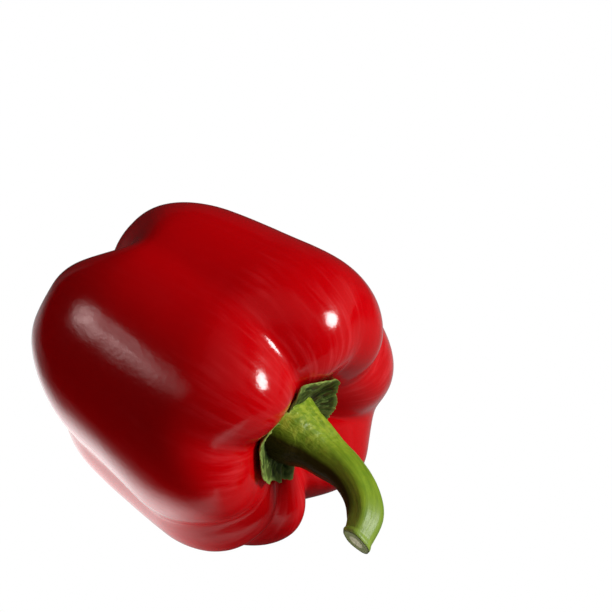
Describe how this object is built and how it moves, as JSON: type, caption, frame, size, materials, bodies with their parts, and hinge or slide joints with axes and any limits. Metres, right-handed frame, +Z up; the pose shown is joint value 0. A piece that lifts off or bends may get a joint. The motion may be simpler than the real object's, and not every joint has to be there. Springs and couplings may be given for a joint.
{
  "type": "bell pepper",
  "caption": "Blocky lobed bell pepper lying on its side, with a green calyx in its stem hollow and a short hooked stem, for food and kitchen scenes.",
  "frame": {"origin": "centre of the bounding box's underside, on the surface that the pepper lies on", "axes": "+Z up; +X along the pepper's length, from the blossom end towards the stem; -Y is the side that the stem hooks towards"},
  "size_m": [0.1216, 0.0896, 0.0833],
  "materials": {
    "red_skin": "glossy waxy red skin",
    "green_calyx": "matt wrinkled dark green calyx",
    "green_stem": "satin ridged green stem with a pale cut end"
  },
  "bodies": {
    "root": {"fruit": "red_skin", "calyx": "green_calyx", "stem": "green_stem"}
  },
  "joints": []
}
